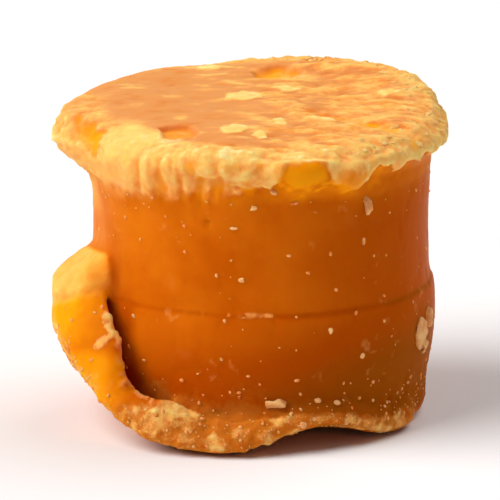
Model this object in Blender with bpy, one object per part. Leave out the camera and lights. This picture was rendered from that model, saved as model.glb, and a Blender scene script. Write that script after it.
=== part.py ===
"""Jaggery block: boiled cane sugar cast in a round mould, with its overflow rim and torn skirt of flash.

One solid. The syrup filled a straight mould, ran over its mouth and set there as an overhanging rim, and
leaked out under its foot, where it set as a thin skirt. The skirt stays low along the front and is bent
up into an ear on the left, with a pocket behind it. The block stands on its flat underside.

Frame: metres, +Z up, origin at the centre of the flat underside, on the axis of the mould. A bearing is
an angle round that axis in degrees: 0 faces -Y, the front, 90 faces +X, the right, and -90 the left.
"""

import math

import bmesh
import bpy
from mathutils import Vector, noise

MM = 0.001

# Driving dimensions, in millimetres. Heights are above the underside.
WALL_RADIUS = 25.0
BASE_RADIUS = 23.9
BASE_FLAT_RADIUS = 20.0
TAPER_HEIGHT = 15.0
SEAM_HEIGHT = 20.4
SEAM_BULGE = 0.45
SEAM_BULGE_RIGHT = 0.4
HEIGHT = 46.4
TOP_CROWN = 0.3
TOP_TILT = 1.05
CRUST_RISE = 1.5
RIM_REACH = 2.5
RIM_REACH_BACK = 1.5
RIM_UNDERSIDE = 40.3
RIM_EDGE_HEIGHT = 42.8
BEAK_REACH = 2.6
BEVEL_REACH = 1.4
BEVEL_DROP = 1.6
BEVEL_INNER_RADIUS = 21.4
ARCH_RISE = 3.2
SKIRT_THICKNESS = 2.6
SKIRT_EDGE_THICKNESS = 1.3

# Bearings of the block's features and how far each spreads to either side, in degrees.
RIGHT, BACK, LEFT = 90.0, 180.0, -90.0
BEVEL_BEARING, BEVEL_SPREAD = -55.0, 34.0
CRUST_BEARING, CRUST_SPREAD = 140.0, 62.0
BACK_CORNER, BACK_CORNER_SPREAD = 49.0, 52.0
ARCH_BEARING, ARCH_SPREAD = 20.0, 33.0

# Fineness of the facets.
BODY_SEGMENTS = 92
SKIRT_STEP = 3.0
WALL_STEP = 2.6

# The skirt at a few stations round the foot, from its right end to its left end. Each has the bearing,
# the height where it leaves the wall, how far its belly stands out from the wall and how high, the same
# for its upper edge, and how open the pocket behind it is, from 0, filled, to 1, a sheet with a gap.
SKIRT_STATIONS = (
    (76.0, 0.6, -1.4, 1.6, -1.8, 3.4, 0.0),
    (58.0, 0.0, 0.7, 1.3, 0.2, 4.4, 0.0),
    (20.0, 0.0, 1.7, 1.8, 0.4, 5.6, 0.0),
    (-14.0, 0.0, 4.5, 1.3, 1.2, 5.0, 0.0),
    (-25.0, 0.2, 5.3, 1.9, 1.9, 6.6, 0.4),
    (-35.0, 0.8, 6.0, 3.3, 3.4, 7.6, 1.0),
    (-42.0, 1.7, 6.5, 5.4, 4.0, 8.9, 1.0),
    (-48.0, 2.6, 6.8, 7.8, 3.9, 16.6, 1.0),
    (-56.0, 4.2, 7.0, 11.8, 3.0, 20.0, 1.0),
    (-62.0, 5.5, 7.1, 15.0, 1.2, 26.7, 1.0),
    (-77.0, 7.4, 6.4, 19.0, 0.4, 26.2, 1.0),
    (-94.0, 9.0, 5.0, 19.2, -0.2, 24.6, 0.8),
    (-110.0, 12.5, 0.2, 18.6, -1.4, 21.5, 0.0),
)

COLOUR = (0.55, 0.16, 0.012, 1.0)
ROUGHNESS = 0.42


def smooth(share):
    """An ease from 0 to 1 of a share that is clamped to that range."""
    share = min(1.0, max(0.0, share))
    return share * share * (3 - 2 * share)


def blend(first, second, share):
    return first + (second - first) * share


def hump(bearing, centre, spread):
    """1 at the centre bearing, easing to 0 at the spread in degrees to either side."""
    turned = (bearing - centre + 180) % 360 - 180
    return smooth(1 - abs(turned) / spread)


def waver(bearing, waves, seed):
    """Unevenness round the block, from about -1 to 1, with about so many waves in a full turn."""
    angle = math.radians(bearing)
    reach = waves / 4
    return 1.6 * noise.noise(Vector((reach * math.cos(angle), reach * math.sin(angle), seed)))


def at(bearing, radius, height):
    """The place of a point on the block, in metres."""
    angle = math.radians(bearing)
    return Vector((radius * math.sin(angle), -radius * math.cos(angle), height)) * MM


def bearing_of(vertex):
    return math.degrees(math.atan2(vertex.co.x, -vertex.co.y))


# --- The body: a turned wall with the rim that ran over the mould's mouth.


def wall_radius(bearing, height):
    """The cast wall: nearly straight above the seam, fuller just below it and drawn in at the foot."""
    full = SEAM_BULGE + SEAM_BULGE_RIGHT * hump(bearing, RIGHT, 70)
    bulge = full * smooth((SEAM_HEIGHT - height) / 1.6) * smooth((height - 4) / 10)
    base = BASE_RADIUS + 0.5 * hump(bearing, RIGHT, 80) - 0.7 * hump(bearing, LEFT + 15, 60)
    radius = blend(WALL_RADIUS, base, smooth(1 - height / TAPER_HEIGHT)) + bulge
    return radius + 0.28 * waver(bearing, 5, 1.7) + 0.1 * waver(bearing, 14, height / 30)


def rim_reach(bearing):
    """How far the rim's edge stands out from the wall: most in the beak on the left."""
    beak = BEAK_REACH * hump(bearing, LEFT - 2, 36)
    corner = BEVEL_REACH * hump(bearing, BEVEL_BEARING, 40)
    back_corners = [hump(bearing, BACK + side * BACK_CORNER, BACK_CORNER_SPREAD) for side in (1, -1)]
    back = RIM_REACH_BACK * sum(back_corners)
    return RIM_REACH + beak + corner + back + 0.45 * waver(bearing, 22, 4.1)


def rim_underside(bearing):
    """The height where the underside of the rim meets the wall, with the drips that set there."""
    left = 3.0 * hump(bearing, LEFT, 44) + 1.4 * hump(bearing, BEVEL_BEARING, BEVEL_SPREAD)
    right = 1.7 * hump(bearing, RIGHT, 46)
    drips = 0.9 * hump(bearing, 12, 11) + 1.7 * hump(bearing, 26, 9)
    return RIM_UNDERSIDE - left - right - drips + 0.55 * waver(bearing, 26, 8.3)


def bevel(bearing):
    """1 where the front left corner of the rim slopes off, else 0."""
    return smooth(1.7 * hump(bearing, BEVEL_BEARING, BEVEL_SPREAD))


def crust(bearing):
    """How much the crust of the rim is piled up at the back right."""
    return CRUST_RISE * hump(bearing, CRUST_BEARING, CRUST_SPREAD)


def level_top(bearing, radius):
    """The height of the top: a little crowned, off level, and piled up with crust at the back right."""
    share = radius / WALL_RADIUS
    tilt = TOP_TILT * share * math.cos(math.radians(bearing))
    return HEIGHT - TOP_CROWN * share ** 2 - tilt + crust(bearing) * smooth(2 * share - 1)


def rim_profile(bearing):
    """The rim in section, from under its edge to the start of the flat top."""
    wall = wall_radius(bearing, RIM_UNDERSIDE)
    edge = wall + rim_reach(bearing)
    slope = bevel(bearing)
    lowered = BEVEL_DROP * slope + 0.7 * hump(bearing, LEFT, 40)
    edge_height = RIM_EDGE_HEIGHT - lowered + 0.5 * crust(bearing) + 0.3 * waver(bearing, 9, 2.6)
    under_height = rim_underside(bearing)
    fullness = 0.25 + 0.4 * hump(bearing, RIGHT, 90)
    low = blend(wall, edge, 0.5 + 0.45 * fullness)
    low_height = blend(under_height, edge_height, 0.5 - 0.32 * fullness)
    top = blend(edge - 2.4, BEVEL_INNER_RADIUS, slope)
    top_edge_height = level_top(bearing, top) - 0.25
    shoulder = blend(edge, top, 0.42)
    shoulder_height = blend(edge_height, top_edge_height, blend(0.72, 0.56, slope))
    return [
        (wall, under_height),
        (blend(wall, low, 0.55), blend(under_height, low_height, 0.4)),
        (low, low_height),
        (edge - 0.15, blend(low_height, edge_height, 0.6)),
        (edge, edge_height),
        (blend(edge, shoulder, 0.35), blend(edge_height, shoulder_height, 0.5)),
        (shoulder, shoulder_height),
        (blend(shoulder, top, 0.55), blend(shoulder_height, top_edge_height, 0.66)),
        (top, top_edge_height),
    ]


def body_profile(bearing):
    """The whole section of the body, from near the middle of the underside to near that of the top."""
    flat = [(share * BASE_FLAT_RADIUS, 0.0) for share in (0.45, 0.75, 1.0)]
    foot = wall_radius(bearing, 0)
    profile = flat + [(BASE_RADIUS - 1.4, 0.15), (foot - 0.35, 0.7), (foot + 0.1, 1.8)]
    lowest, highest = 3.2, rim_underside(bearing) - 1.0
    steps = round((RIM_UNDERSIDE - lowest) / WALL_STEP)
    for step in range(steps):
        height = blend(lowest, highest, step / (steps - 1))
        profile.append((wall_radius(bearing, height), height))
    profile += rim_profile(bearing)
    rim_top = profile[-1][0]
    for share in (0.82, 0.64, 0.46, 0.28, 0.1):
        radius = rim_top * share
        uneven = 0.35 * noise.noise(at(bearing, radius, 0) / MM / 9)
        profile.append((radius, level_top(bearing, radius) + uneven))
    return profile


def arch(bearing, radius, height):
    """How far the foot is lifted at the front right, where the block doesn't touch what it stands on."""
    inwards = smooth((radius - 13) / 10)
    upwards = smooth(1 - height / 9)
    return ARCH_RISE * hump(bearing, ARCH_BEARING, ARCH_SPREAD) * inwards * upwards


def ring_of(mesh, segments):
    """A ring of vertices and edges to start a loft from."""
    made = bmesh.ops.create_circle(mesh, segments=segments, radius=1.0)["verts"]
    return made, list({edge for vertex in made for edge in vertex.link_edges})


def drawn_out(mesh, edges):
    """Extrudes a ring of edges, and returns the new vertices and edges."""
    made = bmesh.ops.extrude_edge_only(mesh, edges=edges)["geom"]
    vertices = [item for item in made if isinstance(item, bmesh.types.BMVert)]
    return vertices, [item for item in made if isinstance(item, bmesh.types.BMEdge)]


def finished(mesh, name):
    """Closes the ends of a loft and makes it an object."""
    bmesh.ops.holes_fill(mesh, edges=[edge for edge in mesh.edges if edge.is_boundary])
    bmesh.ops.recalc_face_normals(mesh, faces=mesh.faces)
    data = bpy.data.meshes.new(name)
    mesh.to_mesh(data)
    mesh.free()
    data.shade_smooth()
    made = bpy.data.objects.new(name, data)
    bpy.context.scene.collection.objects.link(made)
    return made


def turned_body():
    mesh = bmesh.new()
    vertices, edges = ring_of(mesh, BODY_SEGMENTS)
    levels = len(body_profile(0.0))
    for level in range(levels):
        if level:
            vertices, edges = drawn_out(mesh, edges)
        for vertex in vertices:
            bearing = bearing_of(vertex)
            radius, height = body_profile(bearing)[level]
            vertex.co = at(bearing, radius, height + arch(bearing, radius, height))
    return finished(mesh, "jaggery_block")


# --- The skirt: flash that leaked out under the mould, low at the front and bent up on the left.


def station(bearing):
    """The skirt's measures at a bearing, eased between the stations to either side of it."""
    for right, left in zip(SKIRT_STATIONS, SKIRT_STATIONS[1:]):
        if left[0] <= bearing <= right[0]:
            share = smooth((right[0] - bearing) / (right[0] - left[0]))
            return [blend(a, b, share) for a, b in zip(right[1:], left[1:])]
    raise ValueError("a bearing beyond the skirt's ends")


def skirt_section(bearing):
    """The skirt in section: out along its underside, up round its belly, over its edge and down inside."""
    root, belly_reach, belly_height, edge_reach, edge_height, pocket = station(bearing)
    belly = WALL_RADIUS + belly_reach + 0.25 * waver(bearing, 16, 9.1)
    edge = WALL_RADIUS + edge_reach
    edge_height += 0.5 * waver(bearing, 34, 5.5) * smooth(pocket + 0.4)
    buried = BASE_RADIUS - 3.0
    outside = [(buried, root)]
    steps = 5
    for step in range(1, steps + 1):
        angle = math.radians(90 * step / steps)
        outside.append((blend(buried, belly, math.sin(angle)), blend(belly_height, root, math.cos(angle))))
    for step in range(1, steps + 1):
        share = step / steps
        lean = blend(share, share * share, 0.5)
        rise = blend(share, math.sin(math.radians(90 * share)), 0.4)
        outside.append((blend(belly, edge, lean), blend(belly_height, edge_height, rise)))
    inside_edge = blend(buried, edge - SKIRT_EDGE_THICKNESS, pocket)
    inside_belly = blend(buried, belly - SKIRT_THICKNESS, pocket)
    floor_height = root + blend(0.8, 1.0, pocket) * SKIRT_THICKNESS
    waist = blend(belly_height, edge_height, 0.45)
    inside = [
        (blend(inside_edge, edge, 0.5), edge_height + 0.12),
        (inside_edge, edge_height - 0.5),
        (blend(inside_edge, inside_belly, 0.75), max(waist, floor_height + 1.2)),
        (inside_belly, max(belly_height, floor_height + 0.7)),
        (blend(inside_belly, buried, 0.4), floor_height + 0.15),
        (buried, floor_height),
    ]
    return outside + inside


def skirt():
    mesh = bmesh.new()
    right_end, left_end = SKIRT_STATIONS[0][0], SKIRT_STATIONS[-1][0]
    steps = round((right_end - left_end) / SKIRT_STEP)
    vertices, edges = ring_of(mesh, len(skirt_section(right_end)))
    order = sorted(vertices, key=bearing_of)
    for step in range(steps + 1):
        bearing = blend(right_end, left_end, step / steps)
        if step:
            before = {tuple(vertex.co): place for place, vertex in enumerate(order)}
            made, edges = drawn_out(mesh, edges)
            order = sorted(made, key=lambda vertex: before[tuple(vertex.co)])
        for vertex, (radius, height) in zip(order, skirt_section(bearing)):
            vertex.co = at(bearing, radius, max(0.0, height + arch(bearing, radius, height)))
    return finished(mesh, "skirt")


def jaggery():
    material = bpy.data.materials.new("jaggery")
    material.use_nodes = True
    shader = material.node_tree.nodes["Principled BSDF"]
    shader.inputs["Base Color"].default_value = COLOUR
    shader.inputs["Roughness"].default_value = ROUGHNESS
    shader.inputs["Metallic"].default_value = 0.0
    return material


def build():
    for old in list(bpy.data.objects):
        bpy.data.objects.remove(old)
    block = turned_body()
    block.data.materials.append(jaggery())
    flash = skirt()
    flash.hide_render = True
    flash.display_type = "WIRE"
    join = block.modifiers.new("cast in one with the skirt", "BOOLEAN")
    join.operation = "UNION"
    join.solver = "EXACT"
    join.object = flash


build()
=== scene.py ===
import math
import random

import bmesh
import bpy
from mathutils import Matrix, Vector, noise
from mathutils.bvhtree import BVHTree


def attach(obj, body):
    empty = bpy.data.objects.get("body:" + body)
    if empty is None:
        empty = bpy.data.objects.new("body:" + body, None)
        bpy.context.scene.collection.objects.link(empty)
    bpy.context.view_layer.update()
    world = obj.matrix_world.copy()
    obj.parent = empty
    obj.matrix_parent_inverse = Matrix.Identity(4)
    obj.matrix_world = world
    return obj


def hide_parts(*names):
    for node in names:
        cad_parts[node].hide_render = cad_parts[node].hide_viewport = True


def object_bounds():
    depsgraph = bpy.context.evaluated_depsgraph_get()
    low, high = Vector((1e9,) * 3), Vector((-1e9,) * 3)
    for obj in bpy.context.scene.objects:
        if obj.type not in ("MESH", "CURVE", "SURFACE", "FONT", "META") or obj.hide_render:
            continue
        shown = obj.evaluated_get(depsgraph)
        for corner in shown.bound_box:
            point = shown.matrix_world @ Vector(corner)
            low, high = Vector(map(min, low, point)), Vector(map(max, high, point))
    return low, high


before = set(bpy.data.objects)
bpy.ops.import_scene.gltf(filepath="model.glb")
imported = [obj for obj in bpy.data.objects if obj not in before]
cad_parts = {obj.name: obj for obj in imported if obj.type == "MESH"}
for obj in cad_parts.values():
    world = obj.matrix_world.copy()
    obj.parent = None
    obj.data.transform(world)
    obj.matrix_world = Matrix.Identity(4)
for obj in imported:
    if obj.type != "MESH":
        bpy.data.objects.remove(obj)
cad_low, cad_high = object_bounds()


# The studio: a wide sheet of white paper under and behind the block, a big soft lamp at the upper left, a
# weaker one high up behind its right side, and a long lens that looks a little down on it from the front.
CAMERA_DISTANCE = 0.9
CAMERA_ELEVATION = math.radians(14.5)
SENSOR_WIDTH = 36.0
VIEW_WIDTH = 0.0739
PAPER_SIZE = 6.0
PAPER_COLOUR = (0.93, 0.915, 0.91, 1.0)
ROOM_LIGHT = 0.15
LAMP_SPREAD = math.radians(50)
LAMPS = {"key": (2.9, (-0.74, -0.24, 0.82)), "back": (1.17, (0.52, 0.32, 0.92))}

scene = bpy.context.scene
scene.view_settings.view_transform = "Standard"


def aimed(thing, place, target):
    """Puts a camera or a lamp at a place, looking at a target."""
    thing.location = place
    thing.rotation_euler = (target - place).to_track_quat("-Z", "Y").to_euler()
    scene.collection.objects.link(thing)


middle = (cad_low + cad_high) / 2
camera = bpy.data.objects.new("camera", bpy.data.cameras.new("camera"))
camera.data.sensor_width = SENSOR_WIDTH
camera.data.lens = SENSOR_WIDTH * CAMERA_DISTANCE / VIEW_WIDTH
camera.data.clip_start = 0.01
camera.data.clip_end = 20.0
backwards = Vector((0, -math.cos(CAMERA_ELEVATION), math.sin(CAMERA_ELEVATION)))
aimed(camera, middle + backwards * CAMERA_DISTANCE, middle)
scene.camera = camera


for name, (strength, direction) in LAMPS.items():
    lamp = bpy.data.lights.new(name, "SUN")
    lamp.energy = strength
    lamp.angle = LAMP_SPREAD
    aimed(bpy.data.objects.new(name, lamp), middle + Vector(direction), middle)

world = bpy.data.worlds.new("room")
world.use_nodes = True
world.node_tree.nodes["Background"].inputs["Color"].default_value = (1.0, 0.985, 0.97, 1.0)
world.node_tree.nodes["Background"].inputs["Strength"].default_value = ROOM_LIGHT
scene.world = world

sheet = bmesh.new()
bmesh.ops.create_grid(sheet, x_segments=1, y_segments=1, size=PAPER_SIZE / 2)
paper = bpy.data.objects.new("paper", bpy.data.meshes.new("paper"))
sheet.to_mesh(paper.data)
sheet.free()
white = bpy.data.materials.new("white paper")
white.use_nodes = True
white.node_tree.nodes["Principled BSDF"].inputs["Base Color"].default_value = PAPER_COLOUR
white.node_tree.nodes["Principled BSDF"].inputs["Roughness"].default_value = 0.9
white.node_tree.nodes["Principled BSDF"].inputs["Specular IOR Level"].default_value = 0.0
paper.data.materials.append(white)
scene.collection.objects.link(paper)


# The block: boiled cane sugar, cast in a round mould. Its wall took the mould's smooth face, the syrup that
# ran over the mould's mouth set as a crumbly rim, and what leaked under its foot set as a torn skirt.
# It is shaped from the frame's solid, remade in a fine even mesh, and worked over in millimetres. A web of
# sugar, of a centre and half sizes, still joins the top of the bent-up ear to the wall.
MM = 0.001
VOXEL = 0.64 * MM
WALL_RADIUS = 25.0
SEAM_HEIGHT = 20.4
EAR_WEB = ((-22.2, -12.2, 23.4), (1.7, 2.0, 3.8))
FACET_SMOOTHING = 4
DETAIL_SMOOTHING = 2


def smooth(share):
    """An ease from 0 to 1 of a share that is clamped to that range."""
    share = min(1.0, max(0.0, share))
    return share * share * (3 - 2 * share)


def ease(value, low, high):
    """An ease from 0 where the value is low to 1 where it is high."""
    return smooth((value - low) / (high - low))


def hump(bearing, centre, spread):
    """1 at the centre bearing, easing to 0 at the spread in degrees to either side."""
    turned = (bearing - centre + 180) % 360 - 180
    return smooth(1 - abs(turned) / spread)


def spot(across, up, centre, half_size):
    """1 at the centre of an oval on a flat or unrolled surface, easing to 0 at its edge."""
    x = (across - centre[0]) / half_size[0]
    y = (up - centre[1]) / half_size[1]
    return smooth(1 - math.sqrt(x * x + y * y))


def rough(place, size, octaves=3):
    """Fractal unevenness from about -1 to 1, of features about so many millimetres across."""
    return noise.fractal(place / size, 1.0, 2.0, octaves)


def grains(place, size):
    """Rounded grains about so many millimetres across: from about -0.5 between them to 0.5 on top."""
    return 0.5 - noise.voronoi(place / size)[0][0]


def smoothed(mesh, times):
    for _ in range(times):
        bmesh.ops.smooth_vert(mesh, verts=mesh.verts, factor=0.5, use_axis_x=True, use_axis_y=True, use_axis_z=True)


def held_in(mesh):
    """Keeps a mesh inside the solid's own box."""
    for vertex in mesh.verts:
        vertex.co = Vector(min(max(at, least), most) for at, least, most in zip(vertex.co, cad_low, cad_high))


def evenly_remeshed(source, voxel):
    """A copy of a CAD node's mesh, closed, webbed and then remade of even square faces."""
    closed = bmesh.new()
    closed.from_mesh(source.data)
    bmesh.ops.remove_doubles(closed, verts=closed.verts, dist=0.001 * MM)
    web = Matrix.Translation(Vector(EAR_WEB[0]) * MM) @ Matrix.Diagonal((*EAR_WEB[1], 1.0))
    bmesh.ops.create_icosphere(closed, subdivisions=3, radius=MM, matrix=web)
    rough_copy = bpy.data.objects.new("rough copy", bpy.data.meshes.new("rough copy"))
    closed.to_mesh(rough_copy.data)
    closed.free()
    scene.collection.objects.link(rough_copy)
    remesh = rough_copy.modifiers.new("even", "REMESH")
    remesh.mode = "VOXEL"
    remesh.voxel_size = voxel
    even = rough_copy.evaluated_get(bpy.context.evaluated_depsgraph_get())
    made = bmesh.new()
    made.from_mesh(even.to_mesh())
    even.to_mesh_clear()
    bpy.data.objects.remove(rough_copy)
    return made


def crumbly(face):
    """Whether a face is on the rim, the seam, the skirt or the rougher part of the open face, which need a
    finer mesh than the smooth parts."""
    place = face.calc_center_median() / MM
    radius = math.hypot(place.x, place.y)
    on_skirt = (radius > 25.9 and place.z < 28.0) or (radius > 24.0 and 0.6 < place.z < 6.0)
    smooth_skin = place.x < -2 and abs(place.y) < 9 and radius < 19
    return (place.z > 37.0 and not smooth_skin) or on_skirt or abs(place.z - SEAM_HEIGHT) < 0.9


# At the front left the overflow ran down without a break: from the rim to this height, it thins into the wall.
FILLET_FOOT = 34.0
FILLET_HEAD = 41.0
SHOULDER_SMOOTHING = 40


def shoulder(bearing, height):
    """How far out the overflow reaches at the front left, where the casting has a plain step."""
    reach = 2.2 + 1.6 * (1 - ease(bearing, -88, -66)) - 1.6 * ease(bearing, -40, -22)
    reach *= ease(bearing, -108, -90) * (1 - ease(bearing, -8, 14))
    climb = min(1.0, (height - FILLET_FOOT) / (FILLET_HEAD - FILLET_FOOT))
    return WALL_RADIUS + reach * climb ** 1.5


cast = evenly_remeshed(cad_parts["jaggery_block"], VOXEL)
smoothed(cast, FACET_SMOOTHING)
for vertex in cast.verts:
    x, y, height = vertex.co / MM
    bearing, radius = math.degrees(math.atan2(x, -y)), math.hypot(x, y)
    if FILLET_FOOT < height < FILLET_HEAD + 2 and radius > WALL_RADIUS - 1:
        reached = shoulder(bearing, height)
        pulled_in = ease(bearing, -82, -66) * (1 - ease(bearing, -36, -24))
        if radius > reached:
            vertex.co.xy *= (radius + (reached - radius) * pulled_in) / radius
        elif height < FILLET_HEAD:
            vertex.co.xy *= reached / radius
    tucked = hump(bearing, 92, 50) if height < FILLET_HEAD + 2 else 0.0
    limit = WALL_RADIUS + 0.1 + 2.5 * ease(height, 40.4, 42.9)
    if radius > limit and height > FILLET_FOOT:
        vertex.co.xy *= (radius + (limit - radius) * tucked) / radius


def rolled_over(vertex):
    """How far a place is where the open face rolls over without a corner, as at the front left of the rim."""
    place = vertex.co / MM
    bearing, radius = math.degrees(math.atan2(place.x, -place.y)), math.hypot(place.x, place.y)
    sloped = hump(bearing, -48, 36) * ease(place.z, 37.0, 40.0) * ease(radius, 19.0, 23.0)
    softened = 0.25 * hump(bearing, -10, 30) + 0.4 * hump(bearing, 35, 28) + 0.5 * hump(bearing, 85, 60)
    softened *= ease(place.z, 42.8, 44.0) * ease(radius, 21.5, 24.0)
    return min(1.0, 1.6 * sloped + softened)


rollings = {vertex: rolled_over(vertex) for vertex in cast.verts if rolled_over(vertex)}
for step in range(SHOULDER_SMOOTHING):
    rounded = [vertex for vertex, share in rollings.items() if share * SHOULDER_SMOOTHING > step]
    bmesh.ops.smooth_vert(cast, verts=rounded, factor=0.5, use_axis_x=True, use_axis_y=True, use_axis_z=True)
detailed = {edge for face in cast.faces if crumbly(face) for edge in face.edges}
bmesh.ops.subdivide_edges(cast, edges=list(detailed), cuts=1, use_grid_fill=True)
smoothed(cast, DETAIL_SMOOTHING)
cast.normal_update()

# How low the rim's crust reaches, in millimetres, at bearings round the block: 0 is the front, 90 the right.
RIM_EDGE = (
    (-180, 39.6), (-120, 39.4), (-90, 38.0), (-60, 37.2), (-42, 37.4), (-25, 38.1), (-14, 38.4), (-9, 39.4),
    (3, 39.6), (7, 43.0), (13, 44.2), (19, 43.4), (22, 41.0), (28, 40.0), (35, 40.4), (38, 41.6), (43, 41.8),
    (46, 40.9), (62, 42.0), (78, 41.2), (120, 40.6), (180, 39.6),
)


def rim_edge(bearing):
    for (start, low), (end, high) in zip(RIM_EDGE, RIM_EDGE[1:]):
        if bearing <= end:
            return low + (high - low) * (bearing - start) / (end - start)
    return RIM_EDGE[-1][1]


# Pale chips of crust on the open face: the centre of each, and its half sizes.
CHIPS = (
    ((-2.8, 3.4), (3.6, 3.2)),
    ((-4.0, -15.0), (2.6, 3.0)),
    ((2.7, -10.5), (1.8, 2.6)),
    ((0.4, -17.2), (1.6, 2.2)),
    ((3.5, 7.2), (3.2, 1.8)),
    ((18.9, 3.9), (2.4, 2.2)),
    ((8.5, -8.8), (3.4, 1.4)),
    ((-7.6, 20.6), (2.8, 2.0)),
)


class Surface:
    """What a place on the block's skin is like. rise is how far it stands out from the plain casting, in
    millimetres. crust is how much pale dry sugar covers it, butter how yellow that is, coarse how granular,
    skin how far it has the pinkish skin of an open face, clear how syrupy it is, with a painted glow below the
    rim where light shines through, deep_red_and_shade how deep and red it is, which in part is painted shade,
    and grit how dirty and crumbly. crumbs and lumps are how many loose crumbs and stuck lumps lie on it."""

    def __init__(self, place, normal):
        self.place = place
        self.normal = normal
        self.radius = math.hypot(place.x, place.y)
        self.bearing = math.degrees(math.atan2(place.x, -place.y))
        self.across = math.radians(self.bearing) * WALL_RADIUS
        self.height = place.z
        self.upward = ease(normal.z, 0.45, 0.85) * ease(place.z, 42.0, 44.0)
        self.rise = 0.12 * rough(place, 8.0)
        self.crust = self.butter = self.coarse = self.skin = self.clear = self.deep_red_and_shade = self.grit = 0.0
        self.crumbs = self.lumps = self.syrup = 0.0
        if normal.z < -0.6 and place.z < 1.0:
            self.underside()
            return
        self.rim()
        self.top()
        self.wall()
        self.skirt()

    def rim(self):
        """The overflow: it runs down into the wall in folds at the front left, swells out clear and syrupy
        at the front, and overhangs as a granular lip round the right and the back."""
        bearing, height, place = self.bearing, self.height, self.place
        side = 1 - self.upward
        if height < 26:
            return
        slope = hump(bearing, -58, 30)
        folded = ease(bearing, -48, -38) * (1 - ease(bearing, -14, -7))
        edge = rim_edge(bearing) + (1.1 - 0.5 * slope - 0.5 * hump(bearing, 28, 10)) * rough(place, 2.4)
        fade = 0.4 + 3.4 * slope + 1.3 * folded + 0.7 * hump(bearing, 2, 50)
        crust = ease(height, edge - fade - 0.4 * slope, edge + fade - 0.4 * slope)
        hanging = Vector((place.x, place.y, place.z * 0.25))
        fold = 0.4 * math.sin(2 * math.pi * (self.across + 1.3 * rough(hanging, 5.0)) / 2.9)
        fold += 1.1 * rough(hanging, 1.9, 2)
        hang = folded * ease(height, 35.0, 39.5) * (1 - ease(height, 42.6, 46.0))
        self.rise += 0.36 * hang * fold
        crevice = hang * ease(-fold, -0.2, 0.6)
        crust *= 1 - 0.45 * crevice
        self.clear = max(self.clear, 0.6 * crevice * side)
        lipped = ease(height, edge - 0.3, edge + 0.5) * (1 - ease(height, edge + 1.5, edge + 3.5))
        self.rise += side * (1 - slope) * (1 - folded) * 0.6 * lipped
        swell = hump(bearing, 12.5, 15) * (1 - ease(height, 43.5, 45.0)) * side
        self.rise += 1.2 * swell * ease(height, 37.0, 40.8) * (1 - 0.6 * ease(height, 40.8, 44.5))
        syrup = swell * ease(height + 1.2 * rough(place, 2.2), 38.0, 44.0) * (1 - crust)
        self.clear = max(self.clear, 0.8 * smooth(1.5 * syrup))
        lump = spot(self.across, height, (12.4, 40.6), (3.8, 3.8)) * side
        self.rise += 1.2 * lump
        self.clear = max(self.clear, 0.5 * smooth(1.6 * lump))
        stain = hump(bearing, 57, 8) * ease(height, 42.4, 43.6) * (1 - ease(height, 45.6, 46.6))
        gap = hump(bearing, 41, 5) * ease(height, 38.8, 39.6) * (1 - ease(height, 41.8, 42.6)) * side
        self.clear = max(self.clear, 0.9 * stain, 0.3 * gap)
        crust *= 1 - 0.85 * stain
        self.rise -= 0.6 * stain
        sunk = (place.x + 1.2 * rough(place, 2.5), height + 1.2 * rough(place + Vector((9, 0, 0)), 2.5))
        hollow = spot(*sunk, (-25.6, 43.6), (3.8, 3.4)) if place.y < 0 else 0.0
        self.rise -= 0.6 * hollow
        self.syrup = smooth(1.3 * hollow)
        self.clear = max(self.clear, 0.72 * self.syrup)
        crust *= 1 - 0.85 * self.syrup
        beak = hump(bearing, -85, 20) * side
        ridge = math.exp(-((height - 41.9) / 0.6) ** 2)
        self.rise += beak * (0.4 * ridge - 0.3 * math.exp(-((height - 44.0) / 0.9) ** 2))
        self.rise += 1.3 * hump(bearing, -89, 9) * ease(ridge, 0.3, 1.0)
        front = hump(bearing, -20, 80)
        thin = ease(rough(place + Vector((0, 70, 0)), 2.2), -0.3, 0.35) * hump(bearing, 10, 80) * (1 - slope) * side
        crust *= 1 - 0.55 * thin
        self.clear = max(self.clear, 0.6 * thin * ease(height, 35.5, 39.5))
        crust *= 1 - 0.45 * smooth(1.5 * lump) * (1 - ease(height, 42.2, 44.0))
        rugged = crust * side * (1 - slope) * (1 - 0.6 * folded)
        self.rise += rugged * (0.4 * rough(place, 2.8) + 0.5 * grains(place, 1.6))
        self.rise += side * crust * slope * 0.2 * rough(place, 6.0)
        self.coarse = max(self.coarse, rugged * (1 - 0.4 * front))
        self.crust += crust * side
        patches = 0.5 + 0.9 * rough(place + Vector((40, 0, 0)), 3.0, 2)
        yellow = 0.75 * front * patches * ease(height, 38.5, 42.5) + 0.6 * slope * ease(height, 40.6, 43.4)
        self.butter += max(side * yellow, 0.5 * beak * ridge)
        residue = hump(bearing, -86, 32) * ease(height + 1.5 * rough(place, 4.0), 26.5, 37.0) * side
        self.crust = max(self.crust, 0.75 * residue, 0.22 * side * hump(bearing, -80, 50) * ease(height, 26.0, 33.0))
        # Painted shade: below the rim's crust the wall is tinted deeper red, as the rim's shadow.
        under = side * (1 - crust) * ease(height, 33.0, 38.5) * (1 - 0.9 * hump(bearing, -66, 40))
        self.deep_red_and_shade = max(self.deep_red_and_shade, 0.15 * under * (1 - self.clear))
        # Painted glow: below the rim the bare wall is tinted clear bright orange, as light shining through the
        # overflow; less so towards the right.
        lit_through = side * (1 - crust) * ease(height, 34.0, 39.0)
        self.clear = max(self.clear, (0.32 - 0.2 * ease(bearing, 25, 55)) * lit_through)
        self.lumps = rugged * hump(bearing, 95, 90)

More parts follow.
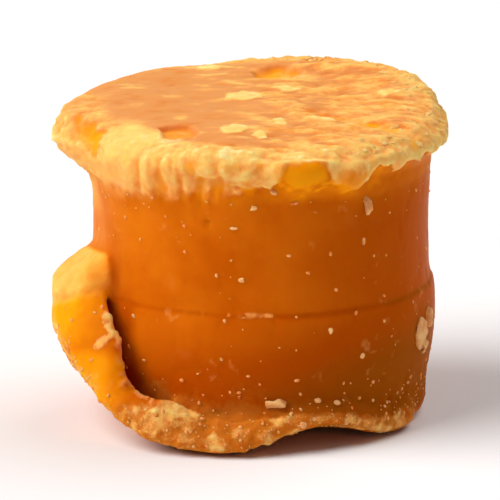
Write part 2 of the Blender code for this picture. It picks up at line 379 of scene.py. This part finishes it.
    def top(self):
        """The open face: a smooth pinkish skin at the left, broken up by streaks of crust towards the right."""
        if not self.upward:
            return
        x, y = self.place.x, self.place.y
        corner = hump(self.bearing, -52, 32)
        rightward = ease(x + 5 * rough(self.place, 9.0, 2), -9.0, 9.0)
        bank = ease(self.radius, 20.5, 24.5) * (1 - 0.8 * hump(self.bearing, -125, 70))
        streaks = rough(Vector((x * 0.6, y, 0.0)), 3.2, 4)
        fine_streaks = rough(Vector((x * 0.5, y, 30.0)), 1.7, 3)
        crust = 0.08 * ease(x, -14, -4) + 0.02 + 0.44 * rightward + 0.6 * streaks + 0.5 * fine_streaks
        crust = max(crust, bank * (0.8 + 0.4 * streaks), corner * ease(self.radius, 19.0, 22.0))
        chip_x = x + 1.1 * rough(self.place, 2.6)
        chip_y = y + 1.1 * rough(self.place + Vector((0, 0, 50)), 2.6)
        chips = max(spot(chip_x, chip_y, centre, half_size) for centre, half_size in CHIPS)
        chips = ease(chips, 0.03, 0.42)
        crust = min(1.0, max(0.0, crust, chips))
        coarse = max(0.8 * bank, 0.5 * rightward, 0.1) * (1 - 0.85 * corner)
        self.coarse = max(self.coarse, coarse * self.upward)
        self.skin = self.upward * min(1.0, 0.88 + 0.35 * fine_streaks + 0.22 * streaks)
        clumps = grains(self.place, 1.7) + 0.4 * rough(self.place, 1.8)
        uneven = coarse * (0.5 * streaks + 0.45 * clumps)
        pit_x = (x + 12.0 + 0.25 * (y + 14.6) + 0.5 * rough(self.place, 2.0)) / 2.7
        pit_y = (y + 15.0 + 0.5 * rough(self.place, 1.5)) / 3.2
        pit = ease(1 - (pit_x ** 4 + pit_y ** 4) ** 0.25, 0.0, 0.25)
        notch = spot(x + rough(self.place, 3.0), y, (2.2, 16.4), (4.5, 5.0))
        uneven += 0.07 * fine_streaks
        self.rise += self.upward * (uneven + 0.16 * chips - 0.75 * pit - 1.1 * smooth(1.6 * notch))
        self.clear = max(self.clear, 0.7 * smooth(2 * notch), 0.5 * pit)
        crust = max(crust * (1 - 0.5 * smooth(2 * notch)), 0.35 * pit)
        self.crust += crust * self.upward * (1 - 0.75 * self.syrup)
        front_edge = ease(self.radius, 23.2, 25.2) * hump(self.bearing, -5, 75)
        below_pit = spot(x, y, (-12.2, -19.0), (5.0, 3.0))
        butter = max(1.0 * chips, 0.8 * front_edge, corner * ease(self.radius, 19.0, 22.5), 1.4 * below_pit)
        butter += (0.9 * fine_streaks - 0.3 * rightward * (1 - bank)) * (1 - chips) * (1 - corner) - 0.6 * pit
        self.butter += min(1.2, butter) * self.upward
        self.lumps = max(self.lumps, 0.6 * self.upward * bank * ease(self.bearing, 10, 70))

    def wall(self):
        """The cast wall, with the mould's seam, a few pits, and some grit under the rim and near the foot. It is
        tinted darker towards the foot, and painted with shade on its right side and where the ear's shadow falls.
        """
        height, place = self.height, self.place
        on_wall = (1 - ease(self.radius, 25.9, 26.6)) * (1 - self.upward) * ease(height, 1.0, 3.0)
        on_wall *= 1 - ease(height, 36.5, 38.5)
        wander = 0.3 * rough(place, 9.0, 2)
        step = ease(height + wander, SEAM_HEIGHT - 0.25, SEAM_HEIGHT + 0.35)
        seam = math.exp(-((height + wander - SEAM_HEIGHT) / 0.45) ** 2)
        self.rise += on_wall * (-0.15 * step - 0.12 * seam * ease(rough(place, 3.0), -0.3, 0.5))
        bow = 0.5 * (1 - ((self.across + 1.6) / 3.6) ** 2)
        scratch = max(math.exp(-((height - 20.6 - side * bow) / 0.2) ** 2) for side in (-0.5, 0.6))
        scratch *= on_wall * ease(bow, 0.0, 0.1) * ease(rough(place, 1.2), -0.5, 0.1)
        self.rise += 0.12 * scratch
        self.crust = max(self.crust, 0.75 * scratch)
        pit = spot(self.across, height, (-8.0, 34.1), (0.9, 0.9))
        pocks = ease(rough(place, 2.2, 2), 0.42, 0.62)
        self.rise += on_wall * (0.05 * rough(place, 1.6) - 0.7 * pit - 0.12 * pocks)
        low = on_wall * (1 - ease(height + 3.5 * rough(place, 4.0), 4.0, 12.0))
        high = on_wall * ease(height + 2.5 * rough(place, 3.5), 32.0, 37.0)
        self.grit = max(self.grit, low, 0.3 * high)
        self.rise += 0.2 * low * rough(place, 1.8) + 0.12 * high * rough(place, 1.5)
        # The wall is tinted darker and redder towards the foot, most on the lower right.
        self.deep_red_and_shade = max(self.deep_red_and_shade, 1.2 * on_wall * (1 - ease(height, 8.0, 22.0)) * hump(self.bearing, 20, 160))
        self.deep_red_and_shade += 0.3 * (1 - ease(height + 2 * rough(place, 3.0), 6.0, 12.0)) * hump(self.bearing, 68, 30)
        # Painted shade: the wall's right side, turned from the key lamp, and the ear's shadow on the wall beside it are
        # tinted deeper red.
        shaded = ease(self.bearing, -15, 70) * (1 - ease(self.bearing, 100, 150)) * (1 - 0.6 * ease(height, 32, 38))
        ear_shadow = spot(self.across, height, (-22.5, 18.5), (4.0, 6.5))
        self.deep_red_and_shade += on_wall * (0.5 * seam + shaded + 0.9 * ear_shadow)
        blotch = ease(rough(place, 4.0, 2), 0.3, 0.7)
        scuffs = ease(rough(place + Vector((0, 0, 90)), 1.6), 0.2, 0.6) * ease(rough(place, 7.0, 2), -0.2, 0.3)
        bloom = max(0.2 * blotch, 0.33 * hump(self.bearing, -80, 50))
        self.skin = max(self.skin, bloom * on_wall)
        self.crust = max(self.crust, 0.32 * scuffs * on_wall)
        self.crumbs = on_wall * (0.1 + 1.0 * low + 0.15 * high)

    def skirt(self):
        """The flash round the foot: granular on its lip and its outer edge, clear and waxy up the bent ear."""
        if self.height > 30 or self.radius < 23:
            return
        height, place = self.height, self.place
        round_foot = ease(self.radius, 25.4, 26.4) * (1 - ease(height, 26.5, 29.0))
        bearing, normal = self.bearing, self.normal
        ear = round_foot * hump(bearing, -74, 38) * ease(height, 4.5, 7.5)
        turned = height - 0.19 * (bearing + 83)
        lobe = ear * ease(turned + 0.5 * rough(place, 5.0, 2), 14.8, 17.6)
        outer_edge = 0.7 * ear * ease(-normal.x - 0.3 * normal.z, 0.86, 0.98) * ease(rough(place, 1.2), -0.2, 0.3)
        outer_edge *= 1 - ease(height, 15.0, 18.0)
        torn_edge = ear * ease(normal.x, 0.2, 0.7) * (1 - ease(height, 17.0, 19.0))
        # Painted shade: low on the bent ear, from about 5.5 to 15 mm up, the sheet is tinted deeper red.
        self.deep_red_and_shade = max(self.deep_red_and_shade, 0.5 * ear * ease(height, 5.5, 8.0) * (1 - ease(height, 11.0, 15.0)))
        self.clear = max(self.clear, ear * (1 - torn_edge) * (0.3 + 0.62 * ease(height, 10.5, 16.5)))
        self.skin = max(self.skin, 0.7 * torn_edge)
        # The ear's upturned lobe gets pale yellow crust: partly the crust it has, and partly a painted highlight on its
        # face that turns up to the lamp.
        self.crust = max(self.crust, 0.56 * lobe, outer_edge)
        self.butter = max(self.butter, 0.5 * lobe, 0.8 * outer_edge)
        for start, end, width in TORN_EDGES:
            flat = Vector((place.x, 0.0, place.z))
            along = min(1.0, max(0.0, (flat - start).dot(end - start) / (end - start).length_squared))
            beside = (place - start).lerp(place - end, along) + 0.8 * rough(place, 1.5) * Vector((1, 0, 1))
            torn = ease(1.7 * width - Vector((beside.x, 0.0, beside.z)).length, 0.0, 1.4 * width)
            torn *= ease(place.y, -12, -15) * ease(self.radius, 26.2, 26.8)
            self.rise += 0.2 * torn
            self.skin = max(self.skin, 1.2 * torn)
            self.clear *= 1 - torn
            self.coarse = max(self.coarse, 0.5 * torn)
            self.crust = max(self.crust, (0.85 if start.z > 15.5 else 0.25) * torn)
            self.butter = max(self.butter, 0.2 * torn)
        self.rise += 1.1 * hump(bearing, -84, 34) * ease(height, 2.0, 6.0) * (1 - ease(height, 16.0, 19.5)) * round_foot
        self.rise += 1.0 * ear * hump(bearing, -88, 24) * ease(height, 17.0, 20.0) * (1 - ease(height, 20.0, 24.0))
        self.rise += 1.2 * ear * hump(bearing, -54, 8) * ease(height, 23.2, 25.0)
        self.rise += ear * (0.25 * rough(place, 3.4) + 0.07 * rough(place, 1.2))
        self.rise -= 0.5 * ear * math.exp(-((turned - 17.0) / 0.8) ** 2)
        lip = round_foot * (1 - ease(height, 5.5, 8.5))
        waxy = hump(bearing, -62, 24) * ease(height, 1.0, 3.0)
        self.clear = max(self.clear, 0.85 * lip * waxy)
        lip *= 1 - 0.9 * waxy
        self.grit = max(self.grit, lip)
        capped = spot(self.across + rough(place, 2.5), height, (-12.4, 6.2), (4.4, 2.3)) * round_foot
        foot = round_foot * hump(bearing, -52, 22) * ease(height, 2.5, 5.0) * (1 - ease(height, 12.0, 16.0))
        self.clear = max(self.clear, 0.72 * foot)
        low_ear = round_foot * hump(bearing, -62, 30) * ease(height, 2.0, 4.0) * (1 - ease(height, 9.0, 15.0))
        sugared = lip * (0.2 + 0.5 * rough(place, 2.8)) + capped * (0.75 + 0.5 * rough(place, 1.0))
        sugared = max(sugared, low_ear * (0.3 + 0.5 * rough(place, 1.6)))
        self.crust = max(self.crust, min(1.0, sugared))
        self.butter = max(self.butter, 0.4 * lip, 0.5 * smooth(2 * capped))
        self.coarse = max(self.coarse, lip)
        self.rise += lip * (0.35 * rough(place, 2.4) + 0.3 * grains(place, 1.3)) + 0.4 * capped
        sprinkled = round_foot * hump(bearing, -82, 44) * ease(-normal.x - 0.5 * normal.z, 0.35, 0.9)
        sprinkled *= ease(height, 1.0, 2.5) * (1 - ease(height, 12.0, 18.0))
        self.crumbs = max(self.crumbs, 1.1 * lip, 5.0 * sprinkled, 0.25 * ear * (1 - lobe))
        self.heel()

    def heel(self):
        """The low end of the skirt at the front right, where it hugs the wall as a band of dry sugar."""
        height, place = self.height, self.place
        heel = hump(self.bearing, 40, 40) * ease(self.radius, 24.0, 24.8) * ease(height, 0.2, 0.9)
        heel *= 1 - ease(height + 1.1 * rough(place, 2.2), 2.8, 4.6)
        self.rise += heel * (0.25 * rough(place, 2.2) + 0.25 * grains(place, 1.3))
        self.crust = max(self.crust, heel * (0.42 + 0.5 * rough(place, 1.8)))
        self.butter = max(self.butter, 0.3 * heel)
        self.grit = max(self.grit, heel)
        self.coarse = max(self.coarse, 0.8 * heel)
        self.deep_red_and_shade *= 1 - 0.8 * heel
        self.crumbs = max(self.crumbs, 1.1 * heel)

    def underside(self):
        """The foot's own face: dull and mottled, with pits, as it set against the board under the mould."""
        place = self.place
        pitted = ease(rough(place, 3.0), 0.1, 0.5)
        self.rise = -0.5 * pitted * (1 - ease(self.radius, 24.0, 25.5))
        self.grit = 1.0
        self.coarse = 0.8
        self.crust = 0.8 * ease(rough(place, 5.0), -0.1, 0.4)


# Where the ear tore from the wall: strips of pale torn sugar along its free edge, from one point to another
# and so wide in millimetres. The first two make a flap that branches, and the others run down to the lip.
TORN_EDGES = (
    (Vector((-22.2, 0.0, 18.4)), Vector((-20.8, 0.0, 15.8)), 0.8),
    (Vector((-21.2, 0.0, 16.4)), Vector((-23.8, 0.0, 14.6)), 0.55),
    (Vector((-20.8, 0.0, 15.4)), Vector((-19.8, 0.0, 9.7)), 0.5),
    (Vector((-19.8, 0.0, 9.7)), Vector((-16.0, 0.0, 7.6)), 0.5),
)
LOOKS = ("crust", "butter", "coarse", "skin", "clear", "deep_red_and_shade", "grit")
layers = {look: cast.verts.layers.float.new(look) for look in LOOKS}
crumb_odds = []
lump_odds = []
for vertex in cast.verts:
    surface = Surface(vertex.co / MM, vertex.normal)
    vertex.co += vertex.normal * surface.rise * MM
    for look in LOOKS:
        vertex[layers[look]] = getattr(surface, look)
    crumb_odds.append(surface.crumbs)
    lump_odds.append(surface.lumps)
held_in(cast)
cast.normal_update()

# How hollow each place is, from -1 on a sharp edge to 1 in a crevice, evened out over its neighbours. The
# shader uses it to paint shade in crevices and highlights on sharp edges of the crust.
HOLLOW_SPREAD = 3
HOLLOW_GAIN = 5


def around(vertex):
    return [edge.other_vert(vertex) for edge in vertex.link_edges]


hollow_layer = cast.verts.layers.float.new("hollow")
cast.verts.ensure_lookup_table()
cast.verts.index_update()
hollows = []
for vertex in cast.verts:
    others = around(vertex)
    mean = sum((other.co for other in others), Vector()) / len(others)
    reach = sum((other.co - vertex.co).length for other in others) / len(others)
    hollows.append((mean - vertex.co).dot(vertex.normal) / reach)
for _ in range(HOLLOW_SPREAD):
    evened = []
    for vertex in cast.verts:
        others = around(vertex)
        evened.append((hollows[vertex.index] + sum(hollows[other.index] for other in others)) / (1 + len(others)))
    hollows = evened
for vertex in cast.verts:
    vertex[hollow_layer] = min(1.0, max(-1.0, HOLLOW_GAIN * hollows[vertex.index]))

block = bpy.data.objects.new("cast_block", bpy.data.meshes.new("cast_block"))
cast.to_mesh(block.data)
block.data.shade_smooth()
scene.collection.objects.link(block)


class Wire:
    """The output of a shader node. Sums, differences and products of wires and numbers make Math nodes."""

    def __init__(self, tree, socket):
        self.tree = tree
        self.socket = socket

    def node(self, kind, settings, values, output=0):
        """A node of a kind, its settings made first and then the values or wires of its sockets."""
        made = self.tree.nodes.new(kind)
        stops = settings.pop("stops", None)
        for name, value in settings.items():
            setattr(made, name, value)
        if stops:
            ramp = made.color_ramp.elements
            for element, (place, colour) in zip((ramp[0], ramp[1]), (stops[0], stops[-1])):
                element.position, element.color = place, colour
            for place, colour in stops[1:-1]:
                ramp.new(place).color = colour
        for name, value in values.items():
            if isinstance(value, Wire):
                self.tree.links.new(value.socket, made.inputs[name])
            else:
                made.inputs[name].default_value = value
        return Wire(self.tree, made.outputs[output])

    def math(self, operation, *values):
        return self.node("ShaderNodeMath", {"operation": operation}, dict(enumerate(values)))

    def __add__(self, other):
        return self.math("ADD", self, other)

    def __sub__(self, other):
        return self.math("SUBTRACT", self, other)

    def __rsub__(self, other):
        return self.math("SUBTRACT", other, self)

    def __mul__(self, other):
        return self.math("MULTIPLY", self, other)

    __radd__ = __add__
    __rmul__ = __mul__

    def eased(self, low, high):
        """0 below low, 1 above high, and a smooth step between."""
        settings = {"interpolation_type": "SMOOTHSTEP"}
        return self.node("ShaderNodeMapRange", settings, {"Value": self, "From Min": low, "From Max": high})

    def tint(self, first, second):
        """The first colour where this is 0, and the second where it is 1."""
        return self.node("ShaderNodeMix", {"data_type": "RGBA"}, {0: self, 6: first, 7: second}, 2)

    def ramp(self, *stops):
        """A colour that follows this through stops, each a position and a colour."""
        return self.node("ShaderNodeValToRGB", {"stops": stops}, {0: self})


def plain(red, green, blue):
    """A colour given in a screen's steps from 0 to 255, as the shader wants it."""
    return tuple((step / 255) ** 2.2 for step in (red, green, blue)) + (1.0,)


DEEP_AMBER = plain(208, 99, 10)
BRIGHT_AMBER = plain(222, 115, 18)
RED_AND_SHADE_AMBER = plain(188, 81, 5)
DARK_AND_SHADE_BROWN = plain(160, 79, 8)
CLEAR_ORANGE = plain(255, 158, 20)
PINK_SKIN = plain(226, 142, 81)
HOLLOW_SHADE_CRUST = plain(240, 136, 52)
PEACH_CRUST = plain(255, 169, 88)
BUTTER_CRUST = plain(255, 198, 108)
PALE_AND_HIGHLIGHT_CRUST = plain(255, 222, 154)
GRIT_BROWN = plain(198, 118, 40)


def jaggery():
    material = bpy.data.materials.new("jaggery")
    material.use_nodes = True
    tree = material.node_tree
    shader = tree.nodes["Principled BSDF"]
    start = Wire(tree, None)
    place = start.node("ShaderNodeTexCoord", {}, {}, "Object")

    def speckle(size, detail, roughness=0.5):
        values = {"Vector": place, "Scale": 1 / (size * MM), "Detail": detail, "Roughness": roughness}
        return start.node("ShaderNodeTexNoise", {}, values)

    def look(name):
        return start.node("ShaderNodeAttribute", {"attribute_name": name}, {}, "Fac")

    broad = speckle(9.0, 2.0) - 0.5
    medium = speckle(2.6, 3.0) - 0.5
    fine = speckle(0.8, 4.0, 0.65) - 0.5
    finest = speckle(0.3, 2.0) - 0.5
    coarse = look("coarse")
    hollow = look("hollow")
    clear = look("clear")
    ragged = (0.15 + coarse) * (0.7 * fine + 0.3 * finest)
    crust = (look("crust") + ragged + 0.25 * medium).eased(0.1, 0.85)
    grit = (look("grit") + 1.2 * fine).eased(0.3, 0.9)
    amber = (broad + 0.4 * medium).eased(-0.25, 0.25).tint(DEEP_AMBER, BRIGHT_AMBER)
    deep_red_and_shade = look("deep_red_and_shade") + 0.3 * medium
    # Deeper red amber where the deep red tint is strong; under the rim, on the wall's right side, in the ear's shadow
    # and low on the ear it is painted shade.
    amber = deep_red_and_shade.eased(0.0, 1.0).tint(amber, RED_AND_SHADE_AMBER)
    amber = (clear + 0.3 * medium).eased(0.1, 0.8).tint(amber, CLEAR_ORANGE)
    amber = (look("skin") * (1 - clear) + 0.2 * medium).eased(0.1, 0.9).tint(amber, PINK_SKIN)
    amber = (0.6 * grit).tint(amber, GRIT_BROWN)
    # The darkest brown, where the deep red tint is strongest: painted shade on the lower right of the wall, together
    # with the wall's darker foot.
    amber = deep_red_and_shade.eased(0.9, 1.8).tint(amber, DARK_AND_SHADE_BROWN)
    # Crust colour: darker orange in crevices is painted shade and paler on sharp edges is a painted highlight, both
    # from the hollow measure; yellowness and noise also move it along the ramp.
    pale = 0.36 + 0.34 * look("butter") + 0.5 * medium + (0.35 + 0.8 * coarse) * fine - 0.55 * hollow
    pale = pale.ramp((0.0, HOLLOW_SHADE_CRUST), (0.33, PEACH_CRUST), (0.72, BUTTER_CRUST), (1.0, PALE_AND_HIGHLIGHT_CRUST))
    colour = crust.tint(amber, pale)
    tree.links.new(colour.socket, shader.inputs["Base Color"])
    roughness = 0.4 + 0.25 * crust + 0.12 * grit + 0.15 * fine
    tree.links.new(roughness.socket, shader.inputs["Roughness"])
    relief = finest * (0.1 + 0.3 * coarse) + fine * (0.1 + 0.5 * coarse + 0.5 * grit)
    bump = start.node("ShaderNodeBump", {}, {"Height": relief, "Strength": 0.6, "Distance": 0.3 * MM}, "Normal")
    tree.links.new(bump.socket, shader.inputs["Normal"])
    shader.inputs["Subsurface Weight"].default_value = 1.0
    shader.inputs["Subsurface Radius"].default_value = (1.0, 0.4, 0.15)
    shader.inputs["Subsurface Scale"].default_value = 1.3 * MM
    shader.inputs["Specular IOR Level"].default_value = 0.01
    chalk = start.node("ShaderNodeBsdfPrincipled", {}, {
        "Base Color": pale,
        "Normal": bump,
        "Roughness": 0.7,
        "Subsurface Weight": 1.0,
        "Subsurface Radius": (1.0, 0.7, 0.5),
        "Subsurface Scale": 0.4 * MM,
        "Specular IOR Level": 0.1,
    })
    dry = 0.85 * crust * coarse.eased(0.0, 1.0)
    both = start.node("ShaderNodeMixShader", {}, {0: dry, 1: Wire(tree, shader.outputs["BSDF"]), 2: chalk})
    tree.links.new(both.socket, tree.nodes["Material Output"].inputs["Surface"])
    return material


block.data.materials.append(jaggery())
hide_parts("jaggery_block")
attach(block, "root")


# Loose sugar: crumbs that broke from the rim and the foot as the block was knocked out of its mould. They
# stuck to the warm wall, to the skirt and along the ear's outer edge, each half sunk in the surface.
CRUMBS = 1100
CRUMB_SIZES = (0.12, 0.36)
draw = random.Random(11)


def seated(place, facing, angle):
    """Sets a shape on a surface at a place, with its own Z the way the surface faces, turned by an angle."""
    upright = facing.to_track_quat("Z", "Y").to_matrix().to_4x4()
    return Matrix.Translation(place) @ upright @ Matrix.Rotation(angle, 4, "Z")


def sprinkled(heap, odds, count, sizes, flatness, divisions):
    """Lumps of a few faces each, half sunk in the block's surface where the odds put them."""
    weights = [face.calc_area() * sum(odds[v.index] for v in face.verts) / len(face.verts) for face in cast_faces]
    for face in draw.choices(cast_faces, weights=weights, k=count):
        shares = [draw.random() for _ in face.verts]
        place = sum((v.co * share for v, share in zip(face.verts, shares)), Vector()) / sum(shares)
        size = sizes[0] + (sizes[1] - sizes[0]) * draw.random() ** 2
        stretch = draw.uniform(0.8, 1.6)
        shape = Matrix.Diagonal((size * stretch * MM, size / stretch ** 0.5 * MM, size * flatness * MM, 1.0))
        seat = seated(place, face.normal, draw.uniform(0, 2 * math.pi))
        lump = bmesh.ops.create_icosphere(heap, subdivisions=divisions, radius=1.0, matrix=seat @ shape)
        for vertex in lump["verts"]:
            vertex.co += 0.35 * size * MM * noise.noise_vector(vertex.co / (0.8 * size * MM))


def sugar(name, dark, pale, roughness):
    """Dry crystallised sugar, of a colour that varies from lump to lump."""
    material = bpy.data.materials.new(name)
    material.use_nodes = True
    tree = material.node_tree
    shader = tree.nodes["Principled BSDF"]
    start = Wire(tree, None)
    place = start.node("ShaderNodeTexCoord", {}, {}, "Object")
    patches = start.node("ShaderNodeTexNoise", {}, {"Vector": place, "Scale": 1 / (1.8 * MM), "Detail": 3.0})
    crystals = start.node("ShaderNodeTexNoise", {}, {"Vector": place, "Scale": 1 / (0.25 * MM), "Detail": 2.0})
    colour = (patches + 0.3 * crystals).eased(0.45, 0.85).tint(dark, pale)
    tree.links.new(colour.socket, shader.inputs["Base Color"])
    bump = start.node("ShaderNodeBump", {}, {"Height": crystals, "Strength": 0.5, "Distance": 0.1 * MM}, "Normal")
    tree.links.new(bump.socket, shader.inputs["Normal"])
    shader.inputs["Roughness"].default_value = roughness
    shader.inputs["Subsurface Weight"].default_value = 1.0
    shader.inputs["Subsurface Radius"].default_value = (1.0, 0.7, 0.5)
    shader.inputs["Subsurface Scale"].default_value = 0.15 * MM
    shader.inputs["Specular IOR Level"].default_value = 0.2
    return material


def stuck_on(name, heap, material):
    """Makes a heap of lumps a piece that rides with the block."""
    held_in(heap)
    piece = bpy.data.objects.new(name, bpy.data.meshes.new(name))
    heap.to_mesh(piece.data)
    heap.free()
    piece.data.shade_smooth()
    piece.data.materials.append(material)
    scene.collection.objects.link(piece)
    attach(piece, "root")


cast_faces = list(cast.faces)
crumbs = bmesh.new()
sprinkled(crumbs, crumb_odds, CRUMBS, CRUMB_SIZES, 0.7, 1)
stuck_on("sugar_crumbs", crumbs, sugar("stuck sugar", plain(240, 136, 62), plain(255, 188, 114), 0.55))


# Rim grains: the overflow foamed as it boiled over and dried as coarse lumps, most of them on the right and
# the back of the rim, where it overhangs.
GRAINS = 200
GRAIN_SIZES = (0.25, 0.65)
rim_grains = bmesh.new()
sprinkled(rim_grains, lump_odds, GRAINS, GRAIN_SIZES, 0.2, 2)
stuck_on("rim_grains", rim_grains, sugar("rim sugar", plain(250, 168, 92), plain(255, 200, 122), 0.6))


# Crust flakes: scales of dry crust that chipped off the rim and stuck to the wall and the lip where they fell.
# Each is placed by its bearing, its height and its half width, half height and thickness in millimetres.
FLAKES = (
    (38.0, 35.8, 0.65, 1.7, 0.5), (66.0, 14.0, 1.7, 2.6, 0.6), (73.0, 15.8, 1.5, 1.4, 0.6),
    (70.0, 11.4, 1.1, 1.0, 0.5), (5.0, 7.3, 1.7, 0.8, 0.9), (-6.5, 25.8, 0.5, 0.4, 0.3),
    (-3.0, 36.4, 0.7, 0.35, 0.3), (-9.2, 33.5, 0.6, 0.3, 0.25), (4.0, 39.0, 0.45, 0.55, 0.4),
    (23.0, 18.0, 0.4, 0.5, 0.3), (35.0, 13.5, 0.45, 0.45, 0.4), (-47.0, 18.5, 0.35, 0.35, 0.3),
    (13.0, 4.6, 0.7, 0.5, 0.4), (19.0, 7.6, 0.6, 0.4, 0.4), (36.0, 30.5, 0.3, 0.6, 0.3),
    (26.0, 6.9, 0.5, 0.4, 0.4), (118.0, 30.0, 1.0, 1.4, 0.5), (150.0, 12.0, 1.6, 1.2, 0.6),
    (-140.0, 24.0, 0.9, 1.3, 0.5), (-165.0, 9.0, 1.4, 1.0, 0.6),
)
skin_of_block = BVHTree.FromBMesh(cast)
flakes = bmesh.new()
for bearing, height, half_width, half_height, thickness in FLAKES:
    outward = Vector((math.sin(math.radians(bearing)), -math.cos(math.radians(bearing)), 0.0))
    place, facing, _, _ = skin_of_block.ray_cast((outward * 60 + Vector((0, 0, height))) * MM, -outward)
    seat = seated(place, facing, draw.uniform(-0.3, 0.3) * min(1.0, half_height))
    shape = Matrix.Diagonal((half_width * MM, half_height * MM, thickness * MM, 1.0))
    flake = bmesh.ops.create_icosphere(flakes, subdivisions=3, radius=1.0, matrix=seat @ shape)
    for vertex in flake["verts"]:
        vertex.co += 0.5 * MM * min(1.0, half_width) * noise.noise_vector(vertex.co / (1.3 * MM))
        vertex.co += 0.22 * MM * min(1.0, half_width) * noise.noise_vector(vertex.co / (0.45 * MM))
stuck_on("crust_flakes", flakes, sugar("flaked crust", plain(228, 150, 84), plain(250, 198, 132), 0.6))
